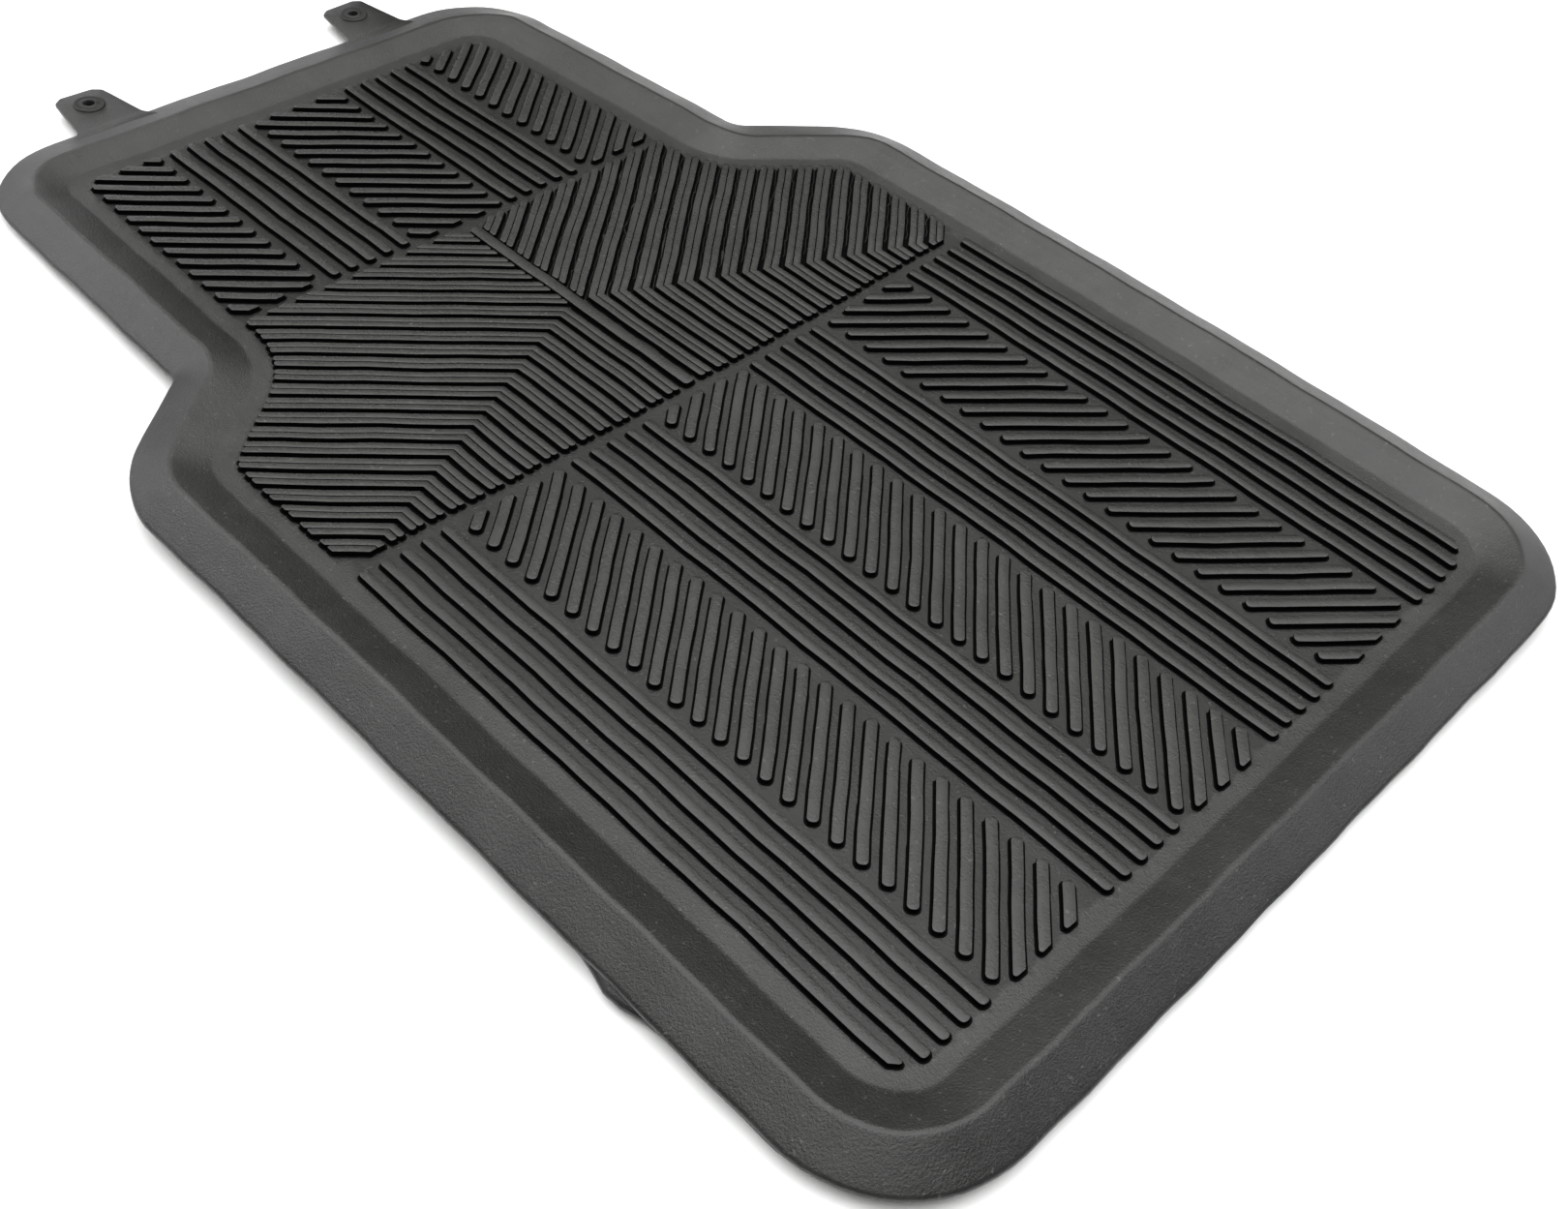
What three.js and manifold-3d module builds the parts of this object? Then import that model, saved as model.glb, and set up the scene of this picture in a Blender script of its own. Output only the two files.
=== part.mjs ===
// A set of two identical moulded rubber floor mats, one nested on the other.
// Each mat is a shallow tray with a raised rim, a ribbed field, a neck, and two tabs with eyelets.
// Millimetres, +Z up. +Y points to the narrow end with the tabs.
import * as THREE from "three";
import { ParametricGeometry } from "three/addons/geometries/ParametricGeometry.js";
import { mergeVertices } from "three/addons/utils/BufferGeometryUtils.js";
import Module from "manifold-3d";

const wasm = await Module();
wasm.setup();

// ---- Driving dimensions ----------------------------------------------------------------

// Field: the flat ribbed floor inside the rim. y = 0 is the seam between the wide part and the neck.
const FIELD_THICKNESS = 2.2;
const FIELD_HALF_WIDTH = 194.5;
const FIELD_WIDE_END_Y = -297.5;
const FIELD_NECK_HALF_WIDTH = 136.5;
const NARROW_SIDE_LEAN = THREE.MathUtils.degToRad(2);
const FIELD_NARROW_END_Y = 326;
const WIDE_CORNER_RADIUS = 23.5;
const NARROW_CORNER_RADIUS = 16.5;
const SHOULDER_Y = 78;
const SHOULDER_RADIUS = 23;
const SHOULDER_TURN = THREE.MathUtils.degToRad(50);
const NECK_RADIUS = 53;

// Rim: distances are measured outwards from the field's edge.
const CREST_OFFSET = 17;
const EDGE_OFFSET = 34;
const EDGE_THICKNESS = 2.2;
const CREST_HEIGHT = 8.9;
const NARROW_END_CREST_HEIGHT = 5.6;
const RIM_THICKNESS = 2.5;

// Ribs stand on the field. Pattern rows run across the mat, and columns run along it.
const RIB_HEIGHT = 2;
const HEEL_RIB_HEIGHT = 2.4;
const RIB_ROOT = 0.6;
const LONG_RIB_PITCH = 10;
const LONG_RIB_WIDTH = 4.5;
const LONG_RIBS_PER_COLUMN = 5;
const INNER_COLUMN_X = 53;
const OUTER_COLUMN_X = 162;
const SLANT_ANGLE = THREE.MathUtils.degToRad(40);
const SLANT_PITCH_Y = 12;
const SLANT_RIB_WIDTH = 4.5;
const SLANT_COLUMN_HALF_WIDTH = 26;
const SLANT_COLUMN_X = 108;

// Each row of the pattern lies between two heights and keeps a margin to the field's edge.
const WIDE_ROW = { from: -291, to: 0, margin: 7.8 };
const HEEL_ROW = { from: 6.5, to: 167.5, margin: 9.5 };
const NARROW_ROW = { from: 173, to: 316, margin: 9.5 };

// Height of one slanted rib's middle in each kind of column. The others follow at the pitch.
const WIDE_SLANT_Y = 1;
const NARROW_OUTER_SLANT_Y = 321.5;
const NARROW_MIDDLE_SLANT_Y = 327.8;

// Heel pad: pairs of bent ribs on both sides of a central bar.
const HEEL_BAR_WIDTH = 6;
const HEEL_RIB_WIDTH = 3;
const HEEL_TWIN_OFFSET = 1.9;
const HEEL_PITCH = 10;
const HEEL_BEND_Y = 87.5;
const HEEL_BAR_GAP = 0.8;

// Tabs on the narrow end, each with an eyelet and a backing washer.
const TAB_X = 82.7;
const TAB_ROOT_HALF_WIDTH = 18;
const TAB_TIP_HALF_WIDTH = 9;
const TAB_SHOULDER_HALF_WIDTH = 14.5;
const TAB_LENGTH = 34.5;
const TAB_SHOULDER_DROP = 8;
const TAB_ROOT_OVERLAP = 9;
const TAB_UNDERSIDE = 1.3;
const TAB_THICKNESS = 2.2;
const TAB_HOLE_FROM_TIP = 14;
const EYELET_BORE = 5.2;
const EYELET_BARREL = 8.2;
const EYELET_FLANGE = 16;
const EYELET_FLANGE_THICKNESS = 1;
const WASHER_DIAMETER = 14;
const WASHER_THICKNESS = 0.8;
const GAP = 0.3;

// Nesting: the upper mat stands on the heel ribs of the lower one, which lies slightly askew.
const NEST_PITCH = FIELD_THICKNESS + HEEL_RIB_HEIGHT + GAP;
const LOWER_MAT_SKEW = THREE.MathUtils.degToRad(-0.4);
const LOWER_MAT_SHIFT_X = 1.5;

// Facets.
const CORNER_STEPS = 6;
const NECK_STEPS = 6;
const ROUND_SEGMENTS = 20;

const rubber = () => new THREE.MeshStandardMaterial({ color: 0x3a3c3b, roughness: 0.72, metalness: 0 });
const eyeletPlastic = () => new THREE.MeshStandardMaterial({ color: 0x2b2c2c, roughness: 0.5, metalness: 0 });

// ---- Solids ------------------------------------------------------------------------------

// Turns a closed geometry into a manifold solid.
function solid(geometry) {
  const bare = geometry.index ? geometry.toNonIndexed() : geometry.clone();
  bare.deleteAttribute("normal");
  bare.deleteAttribute("uv");
  const merged = mergeVertices(bare, 1e-4);
  return new wasm.Manifold(
    new wasm.Mesh({
      numProp: 3,
      vertProperties: merged.attributes.position.array,
      triVerts: new Uint32Array(merged.index.array),
    }),
  );
}

// Turns a manifold solid back into a three.js geometry.
function geometryOf(body) {
  const mesh = body.getMesh();
  const geometry = new THREE.BufferGeometry();
  geometry.setAttribute("position", new THREE.BufferAttribute(mesh.vertProperties, 3));
  geometry.setIndex(new THREE.BufferAttribute(mesh.triVerts, 1));
  return geometry;
}

// An upright prism of the outline between two heights.
function prism(points, bottom, top) {
  const geometry = new THREE.ExtrudeGeometry(new THREE.Shape(points), {
    depth: top - bottom,
    bevelEnabled: false,
  });
  return solid(geometry.translate(0, 0, bottom));
}

const joined = (bodies) => bodies.reduce((whole, body) => whole.add(body));

// ---- The field's edge ------------------------------------------------------------------------

const direction = (angle) => new THREE.Vector2(Math.cos(angle), Math.sin(angle));

// Stations along an arc: each has a point and the normal that points out of the mat.
// A concave arc has its centre outside the mat.
function arcStations(centre, radius, fromAngle, toAngle, steps, concave = false) {
  return Array.from({ length: steps + 1 }, (_, i) => {
    const outward = direction(THREE.MathUtils.lerp(fromAngle, toAngle, i / steps));
    return {
      point: centre.clone().addScaledVector(outward, concave ? -radius : radius),
      outward,
    };
  });
}

// The right half of the field's edge, from the wide end to the narrow end.
function rightEdgeStations() {
  const wideCorner = new THREE.Vector2(
    FIELD_HALF_WIDTH - WIDE_CORNER_RADIUS,
    FIELD_WIDE_END_Y + WIDE_CORNER_RADIUS,
  );
  const shoulder = new THREE.Vector2(FIELD_HALF_WIDTH - SHOULDER_RADIUS, SHOULDER_Y);
  const neckX = FIELD_NECK_HALF_WIDTH + NECK_RADIUS;
  const sideRun = neckX - shoulder.x - (SHOULDER_RADIUS + NECK_RADIUS) * Math.cos(SHOULDER_TURN);
  const climb =
    (SHOULDER_RADIUS + NECK_RADIUS) * Math.sin(SHOULDER_TURN) - sideRun / Math.tan(SHOULDER_TURN);
  const neck = new THREE.Vector2(neckX, shoulder.y + climb);
  const side = direction(NARROW_SIDE_LEAN);
  const cornerY = FIELD_NARROW_END_Y - NARROW_CORNER_RADIUS;
  const across = neck.dot(side) - NECK_RADIUS - NARROW_CORNER_RADIUS;
  const narrowCorner = new THREE.Vector2((across - cornerY * side.y) / side.x, cornerY);
  return [
    ...arcStations(wideCorner, WIDE_CORNER_RADIUS, -Math.PI / 2, 0, CORNER_STEPS),
    ...arcStations(shoulder, SHOULDER_RADIUS, 0, SHOULDER_TURN, CORNER_STEPS),
    ...arcStations(neck, NECK_RADIUS, SHOULDER_TURN, NARROW_SIDE_LEAN, NECK_STEPS, true),
    ...arcStations(narrowCorner, NARROW_CORNER_RADIUS, NARROW_SIDE_LEAN, Math.PI / 2, CORNER_STEPS),
  ];
}

function edgeStations() {
  const right = rightEdgeStations();
  const left = right
    .map(({ point, outward }) => ({
      point: new THREE.Vector2(-point.x, point.y),
      outward: new THREE.Vector2(-outward.x, outward.y),
    }))
    .reverse();
  return [...right, ...left];
}

const stations = edgeStations();
const outlineAt = (offset) =>
  stations.map(({ point, outward }) => point.clone().addScaledVector(outward, offset));

// ---- Rim --------------------------------------------------------------------------------------

// The rim's cross-section: distance out from the field's edge, and height.
// The crest is lower on the narrow end, where the tabs join.
function rimSection(outward) {
  const towardsNarrowEnd = THREE.MathUtils.smoothstep(outward.y, 0.15, 0.95);
  const crest = THREE.MathUtils.lerp(CREST_HEIGHT, NARROW_END_CREST_HEIGHT, towardsNarrowEnd);
  const crestRound = 1.6;
  const edgeRound = 0.6;
  return [
    [0, 0],
    [0, FIELD_THICKNESS],
    [CREST_OFFSET - crestRound, crest - 0.4],
    [CREST_OFFSET, crest],
    [CREST_OFFSET + crestRound, crest - 0.4],
    [EDGE_OFFSET - edgeRound, EDGE_THICKNESS],
    [EDGE_OFFSET, EDGE_THICKNESS - edgeRound],
    [EDGE_OFFSET, 0],
    [EDGE_OFFSET - EDGE_THICKNESS, 0],
    [CREST_OFFSET, crest - RIM_THICKNESS],
    [RIM_THICKNESS, 0],
  ];
}

function rim() {
  const sections = stations.map(({ outward }) => rimSection(outward));
  const rings = sections[0].length;
  const geometry = new ParametricGeometry(
    (u, v, target) => {
      const station = Math.round(u * stations.length) % stations.length;
      const ring = Math.round(v * rings) % rings;
      const [offset, height] = sections[station][ring];
      const { point, outward } = stations[station];
      target.set(point.x + outward.x * offset, point.y + outward.y * offset, height);
    },
    stations.length,
    rings,
  );
  const body = solid(geometry);
  return body.volume() > 0 ? body : flipped(geometry);
}

// The same closed geometry with its faces turned round.
function flipped(geometry) {
  const index = geometry.index.array;
  for (let i = 0; i < index.length; i += 3) {
    [index[i + 1], index[i + 2]] = [index[i + 2], index[i + 1]];
  }
  return solid(geometry);
}

// ---- Ribs ----------------------------------------------------------------------------------------

const rectangle = (left, right, bottom, top) => [
  new THREE.Vector2(left, bottom),
  new THREE.Vector2(right, bottom),
  new THREE.Vector2(right, top),
  new THREE.Vector2(left, top),
];

// A bar of constant width along a path of two or three points, with a mitred bend.
function barOutline(path, width) {
  const sides = [1, -1].map((side) =>
    path.map((point, i) => {
      const before = point.clone().sub(path[Math.max(i - 1, 0)]).normalize();
      const after = path[Math.min(i + 1, path.length - 1)].clone().sub(point).normalize();
      const along = before.clone().add(after).normalize();
      const across = new THREE.Vector2(-along.y, along.x);
      const straightness = Math.max(before.length() ? before.dot(along) : 1, 0.5);
      return point.clone().addScaledVector(across, (side * width) / 2 / straightness);
    }),
  );
  return [...sides[0], ...sides[1].reverse()];
}

const ribBar = (path, width, height) =>
  prism(barOutline(path, width), FIELD_THICKNESS - RIB_ROOT, FIELD_THICKNESS + height);

// Everything that the ribs of a row may fill: the field inside the margin, between the row's two heights.
function rowZone(row, left = -FIELD_HALF_WIDTH, right = FIELD_HALF_WIDTH) {
  const patch = prism(rectangle(left, right, row.from, row.to), 0, CREST_HEIGHT);
  return prism(outlineAt(-row.margin), 0, CREST_HEIGHT).intersect(patch);
}

function longRibs(row, columnX) {
  const middle = (LONG_RIBS_PER_COLUMN - 1) / 2;
  const bars = Array.from({ length: LONG_RIBS_PER_COLUMN }, (_, i) => {
    const x = columnX + (i - middle) * LONG_RIB_PITCH;
    const path = [new THREE.Vector2(x, row.from), new THREE.Vector2(x, row.to)];
    return ribBar(path, LONG_RIB_WIDTH, RIB_HEIGHT);
  });
  return joined(bars).intersect(rowZone(row));
}

// Slanted ribs across one column. A slant of 1 rises to the right, and -1 falls.
function slantRibs(row, columnX, slant, someY) {
  const halfWidth = SLANT_COLUMN_HALF_WIDTH;
  const rise = Math.tan(SLANT_ANGLE) * halfWidth;
  const bars = [];
  const lowest = someY + SLANT_PITCH_Y * Math.ceil((row.from - rise - someY) / SLANT_PITCH_Y);
  for (let y = lowest; y < row.to + rise; y += SLANT_PITCH_Y) {
    const left = new THREE.Vector2(columnX - halfWidth, y - slant * rise);
    const right = new THREE.Vector2(columnX + halfWidth, y + slant * rise);
    const overrun = right.clone().sub(left).normalize().multiplyScalar(LONG_RIB_PITCH / 2);
    bars.push(ribBar([left.sub(overrun), right.add(overrun)], SLANT_RIB_WIDTH, RIB_HEIGHT));
  }
  return joined(bars).intersect(rowZone(row, columnX - halfWidth, columnX + halfWidth));
}

// Heel pad ribs on one side: each comes in from the side, bends, and runs down along the mat.
// A rib with its foot inside the central bar only runs in to the bar.
function heelRibs(side) {
  const limitX = HEEL_BAR_WIDTH / 2 + HEEL_BAR_GAP;
  const slope = Math.tan(SLANT_ANGLE);
  const bendSlope = Math.tan((Math.PI / 2 - SLANT_ANGLE) / 2);
  const reach = 2 * FIELD_HALF_WIDTH;
  const bars = [];
  const count = Math.floor(FIELD_HALF_WIDTH / HEEL_PITCH);
  for (let i = -count; i <= count; i += 1) {
    for (const offset of [-HEEL_TWIN_OFFSET, HEEL_TWIN_OFFSET]) {
      const x = i * HEEL_PITCH + offset;
      const bend = new THREE.Vector2(side * x, HEEL_BEND_Y - x * bendSlope);
      const foot = new THREE.Vector2(side * x, HEEL_ROW.from - reach);
      const head = new THREE.Vector2(side * (x + reach), bend.y + slope * reach);
      const path = x > limitX ? [foot, bend, head] : [bend, head];
      bars.push(ribBar(path, HEEL_RIB_WIDTH, HEEL_RIB_HEIGHT));
    }
  }
  const zoneEnds = [side * limitX, side * FIELD_HALF_WIDTH].sort((a, b) => a - b);
  return joined(bars).intersect(rowZone(HEEL_ROW, ...zoneEnds));
}

function heelBar() {
  const path = [new THREE.Vector2(0, HEEL_ROW.from), new THREE.Vector2(0, HEEL_ROW.to)];
  return ribBar(path, HEEL_BAR_WIDTH, HEEL_RIB_HEIGHT);
}

// All ribs of a mat. The slanted columns of the wide row mirror each other about the middle one.
function ribs() {
  const columns = [-1, 1];
  return joined([
    ...columns.flatMap((side) => [
      longRibs(WIDE_ROW, side * OUTER_COLUMN_X),
      longRibs(WIDE_ROW, side * INNER_COLUMN_X),
      longRibs(NARROW_ROW, side * INNER_COLUMN_X),
      slantRibs(WIDE_ROW, side * SLANT_COLUMN_X, -side, WIDE_SLANT_Y),
      slantRibs(NARROW_ROW, side * SLANT_COLUMN_X, side, NARROW_OUTER_SLANT_Y),
      heelRibs(side),
    ]),
    slantRibs(WIDE_ROW, 0, 1, WIDE_SLANT_Y),
    slantRibs(NARROW_ROW, 0, -1, NARROW_MIDDLE_SLANT_Y),
    heelBar(),
  ]);
}

// ---- Tabs and eyelets ---------------------------------------------------------------------------------

const edgeY = FIELD_NARROW_END_Y + EDGE_OFFSET;
const tabTipY = edgeY + TAB_LENGTH;
const holeY = tabTipY - TAB_HOLE_FROM_TIP;
const tabTop = TAB_UNDERSIDE + TAB_THICKNESS;

function tab(x) {
  const right = [
    new THREE.Vector2(TAB_ROOT_HALF_WIDTH, edgeY - TAB_ROOT_OVERLAP),
    new THREE.Vector2(TAB_ROOT_HALF_WIDTH, edgeY),
    new THREE.Vector2(TAB_SHOULDER_HALF_WIDTH, tabTipY - TAB_SHOULDER_DROP),
    new THREE.Vector2(TAB_SHOULDER_HALF_WIDTH - 1.6, tabTipY - 3),
    new THREE.Vector2(TAB_TIP_HALF_WIDTH, tabTipY),
  ];
  const left = right.map((point) => new THREE.Vector2(-point.x, point.y)).reverse();
  const outline = [...right, ...left].map((point) => point.add(new THREE.Vector2(x, 0)));
  const drill = new THREE.CylinderGeometry(
    EYELET_BARREL / 2 + GAP,
    EYELET_BARREL / 2 + GAP,
    3 * TAB_THICKNESS,
    ROUND_SEGMENTS,
  );
  drill.rotateX(Math.PI / 2).translate(x, holeY, TAB_UNDERSIDE);
  return prism(outline, TAB_UNDERSIDE, tabTop).subtract(solid(drill));
}

// A ring of revolution about the tab's hole, from a closed profile of radii and heights.
const turned = (profile) =>
  new THREE.LatheGeometry(
    [...profile, profile[0]].map(([radius, height]) => new THREE.Vector2(radius, height)),
    ROUND_SEGMENTS,
  ).rotateX(Math.PI / 2);

// The eyelet's flange lies on the tab, and its barrel goes down through the hole.
function eyelet() {
  const bottom = GAP - tabTop;
  return turned([
    [EYELET_BORE / 2, bottom],
    [EYELET_BARREL / 2, bottom],
    [EYELET_BARREL / 2, GAP],
    [EYELET_FLANGE / 2, GAP],
    [EYELET_FLANGE / 2, GAP + EYELET_FLANGE_THICKNESS],
    [EYELET_BORE / 2, GAP + EYELET_FLANGE_THICKNESS],
  ]);
}

// The washer goes round the barrel under the tab.
function washer() {
  const top = -TAB_THICKNESS - GAP;
  const inner = EYELET_BARREL / 2 + GAP;
  return turned([
    [inner, top - WASHER_THICKNESS],
    [WASHER_DIAMETER / 2, top - WASHER_THICKNESS],
    [WASHER_DIAMETER / 2, top],
    [inner, top],
  ]);
}

// ---- One mat, and the set --------------------------------------------------------------------------------

function matBody() {
  const field = prism(outlineAt(0), 0, FIELD_THICKNESS);
  return geometryOf(joined([field, rim(), ribs(), tab(-TAB_X), tab(TAB_X)]));
}

const bodyGeometry = matBody();

function part(name, geometry, material) {
  const mesh = new THREE.Mesh(geometry, material);
  mesh.name = name;
  return mesh;
}

function mat(name) {
  const group = new THREE.Group();
  group.add(part(`${name}_mat_body`, bodyGeometry, rubber()));
  for (const [side, x] of [["left", -TAB_X], ["right", TAB_X]]) {
    const fitting = new THREE.Group();
    fitting.position.set(x, holeY, tabTop);
    fitting.add(part(`${name}_mat_${side}_eyelet`, eyelet(), eyeletPlastic()));
    fitting.add(part(`${name}_mat_${side}_washer`, washer(), eyeletPlastic()));
    group.add(fitting);
  }
  return group;
}

const lowerMat = mat("lower");
lowerMat.rotation.z = LOWER_MAT_SKEW;
lowerMat.position.x = LOWER_MAT_SHIFT_X;

const upperMat = mat("upper");
upperMat.position.z = NEST_PITCH;

// The origin is on the floor, under the middle of the set's footprint.
const matSet = new THREE.Group();
matSet.add(lowerMat, upperMat);
matSet.updateMatrixWorld(true);
const middle = new THREE.Box3().setFromObject(matSet, true).getCenter(new THREE.Vector3());
for (const each of [lowerMat, upperMat]) {
  each.position.x -= middle.x;
  each.position.y -= middle.y;
}

export default matSet;
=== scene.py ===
"""Looks of the floor mat set: two ribbed rubber mats, nested one on the other.

Lengths are in metres. A mat is shaped in its own flat frame, where +Y points to the narrow end,
y = 0 is the seam between the wide part and the heel pad, and z = 0 is the underside of the field.
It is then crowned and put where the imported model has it.
"""

import math

import bmesh
import bpy
import numpy as np
from mathutils import Matrix, Vector, geometry


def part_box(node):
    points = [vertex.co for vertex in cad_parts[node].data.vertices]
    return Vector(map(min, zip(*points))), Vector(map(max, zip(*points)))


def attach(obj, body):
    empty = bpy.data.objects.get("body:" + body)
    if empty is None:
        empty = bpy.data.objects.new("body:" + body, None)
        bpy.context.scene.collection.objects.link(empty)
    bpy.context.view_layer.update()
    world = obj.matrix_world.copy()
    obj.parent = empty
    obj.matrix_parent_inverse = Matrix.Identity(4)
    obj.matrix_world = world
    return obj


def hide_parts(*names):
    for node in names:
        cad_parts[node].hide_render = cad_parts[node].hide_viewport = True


MM = 0.001
COINCIDENT = 1e-7  # closer than this, two points of an outline count as one

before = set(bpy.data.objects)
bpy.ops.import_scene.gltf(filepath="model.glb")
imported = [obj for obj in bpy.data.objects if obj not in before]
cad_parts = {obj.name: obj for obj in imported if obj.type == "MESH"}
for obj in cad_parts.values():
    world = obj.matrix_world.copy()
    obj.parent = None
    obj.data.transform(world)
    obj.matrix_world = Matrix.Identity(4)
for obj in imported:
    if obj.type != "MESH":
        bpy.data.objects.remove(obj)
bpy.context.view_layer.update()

# ---- Shape of one mat ------------------------------------------------------------------------

FIELD_TOP = 2.2 * MM
FIELD_HALF_WIDTH = 194.5 * MM
FIELD_WIDE_END_Y = -297.5 * MM
FIELD_NECK_HALF_WIDTH = 136.5 * MM
NARROW_SIDE_LEAN = math.radians(2)
FIELD_NARROW_END_Y = 326 * MM
WIDE_CORNER_RADIUS = 23.5 * MM
NARROW_CORNER_RADIUS = 16.5 * MM
SHOULDER_Y = 78 * MM
SHOULDER_RADIUS = 23 * MM
SHOULDER_TURN = math.radians(50)
NECK_RADIUS = 53 * MM

CREST_OFFSET = 17 * MM
EDGE_OFFSET = 34 * MM
EDGE_THICKNESS = 2.2 * MM
CREST_HEIGHT = 8.9 * MM
NARROW_END_CREST_HEIGHT = 5.6 * MM
RIM_THICKNESS = 2.5 * MM

RIB_HEIGHT = 2.2 * MM
HEEL_RIB_HEIGHT = 2.4 * MM
RIB_WIDTH = 4.7 * MM
RIB_ROUNDING = 0.3 * MM
HEEL_RIB_ROUNDING = 0.2 * MM
RIB_END_RADIUS = 1.9 * MM
SHORTEST_RIB = 2.2 * MM
LONG_RIB_PITCH = 10 * MM
INNER_COLUMN_X = 53 * MM
OUTER_COLUMN_X = 162 * MM
SLANT_ANGLE = math.radians(40)
SLANT_PITCH_Y = 12 * MM
SLANT_COLUMN_HALF_WIDTH = 26 * MM
SLANT_COLUMN_X = 108 * MM

# Each row of the pattern: its two ends and its margin to the field's edge.
WIDE_ROW = (-291 * MM, 0, 7.8 * MM)
HEEL_ROW = (6.5 * MM, 167.5 * MM, 9.5 * MM)
NARROW_ROW = (173 * MM, 316 * MM, 9.5 * MM)

WIDE_SLANT_Y = 1 * MM
NARROW_OUTER_SLANT_Y = 321.5 * MM
NARROW_MIDDLE_SLANT_Y = 327.8 * MM
HEEL_BAR_WIDTH = 6 * MM
HEEL_RIB_WIDTH = 3.5 * MM
HEEL_TWIN_OFFSET = 1.9 * MM
HEEL_PITCH = 10 * MM
HEEL_BEND_Y = 87.5 * MM
HEEL_BAR_GAP = 0.8 * MM
HEEL_BAR_SHORT = 4 * MM
SHORTEST_HEEL_RIB = 3 * MM
SHORTEST_HEEL_RUN = 1.5 * MM
HEEL_NUDGE = 0.3 * MM
HEEL_BEND_SHARE = 0.12
HEEL_BEND_REACH = 12 * MM
LONGEST_HEEL_RUN = 240 * MM

TAB_X = 82.7 * MM
TAB_LENGTH = 34.5 * MM
TAB_UNDERSIDE = 1.3 * MM
TAB_THICKNESS = 2.2 * MM
TAB_HOLE_FROM_TIP = 14 * MM
TAB_HOLE_RADIUS = 4.4 * MM

# How finely the rounded shapes and the long runs are divided.
CORNER_STEPS = 14
RIB_END_STEPS = 3
TAB_CORNER_STEPS = 4
HOLE_STEPS = 28
TURNED_STEPS = 48
LONGEST_EDGE_STEP = 8 * MM
LONGEST_RIB_STEP = 14 * MM
FIELD_STEP = 12 * MM

# The vertex attribute "ribbed" is 0 on the rim and the border, 1 between the ribs, and has these
# values on the ribs' tops and walls. Next to a wall's foot it falls to 1 over the foot's painted
# shade, which the material paints from it.
RIB_TOP_SHARE = 0.6
RIB_WALL_SHARE = 2.0
FOOT_SHADE = 1.0 * MM
BORDER_WIDTH = 5.5 * MM

# The rubber isn't quite flat: the mats arch along their length and dish across it.
ARCH_RISE = 5.4 * MM
ARCH_SAG = 4.7 * MM
ARCH_REACH = 273 * MM
DISH_RISE = 3.4 * MM
DISH_REACH = 182 * MM
DISH_TAPER = 0.22
REST_SOFTNESS = 1.2 * MM

# The outer half of the rim, the lip, droops towards the floor, and less so on the right.
LIP_DROOP = 2.2 * MM
LIP_EASE = 0.12
RIGHT_LIP_SHARE = 0.15
RIGHT_LIP_FROM = -50 * MM
RIGHT_LIP_TO = 150 * MM
WOBBLE = 0.22 * MM

# The lower mat lies askew and is a little narrower, and its left lip is pushed out at one place.
LOWER_SKEW = math.radians(-0.4)
LOWER_SHIFT_X = 1.5 * MM
LOWER_TUCK = 0.009
LOWER_BULGE = 4.5 * MM
BULGE_Y = -204 * MM
BULGE_REACH = 12 * MM

EDGE_Y = FIELD_NARROW_END_Y + EDGE_OFFSET
HOLE_Y = EDGE_Y + TAB_LENGTH - TAB_HOLE_FROM_TIP


def smoothstep(value, low, high):
    t = min(max((value - low) / (high - low), 0.0), 1.0)
    return t * t * (3 - 2 * t)


def lerp(a, b, t):
    return a + (b - a) * t


def rise(x, y):
    """Height that the arch and the dish add to a point of a mat."""
    across = min(max(x / DISH_REACH, -1.05), 1.05)
    along = min(max(y / ARCH_REACH, -1.08), 1.2)
    dish = DISH_RISE * across**2 * (1 - DISH_TAPER * along)
    height = ARCH_RISE - ARCH_SAG * along**2 + dish
    return 0.5 * (height + math.sqrt(height**2 + REST_SOFTNESS**2))


# ---- The field's edge ------------------------------------------------------------------------


def arc_stations(centre, radius, from_angle, to_angle, concave=False):
    """Points along an arc, each with the normal that points out of the mat."""
    stations = []
    for i in range(CORNER_STEPS + 1):
        angle = lerp(from_angle, to_angle, i / CORNER_STEPS)
        outward = Vector((math.cos(angle), math.sin(angle)))
        stations.append((centre + outward * (-radius if concave else radius), outward))
    return stations


def with_straights(stations):
    """Adds stations on the straights, so that none is far from the next one."""
    filled = []
    for (point, outward), (following, next_outward) in zip(stations, stations[1:] + stations[:1]):
        steps = max(1, math.ceil((following - point).length / LONGEST_EDGE_STEP))
        for i in range(steps):
            normal = outward.lerp(next_outward, i / steps).normalized()
            filled.append((point.lerp(following, i / steps), normal))
    return filled


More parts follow.
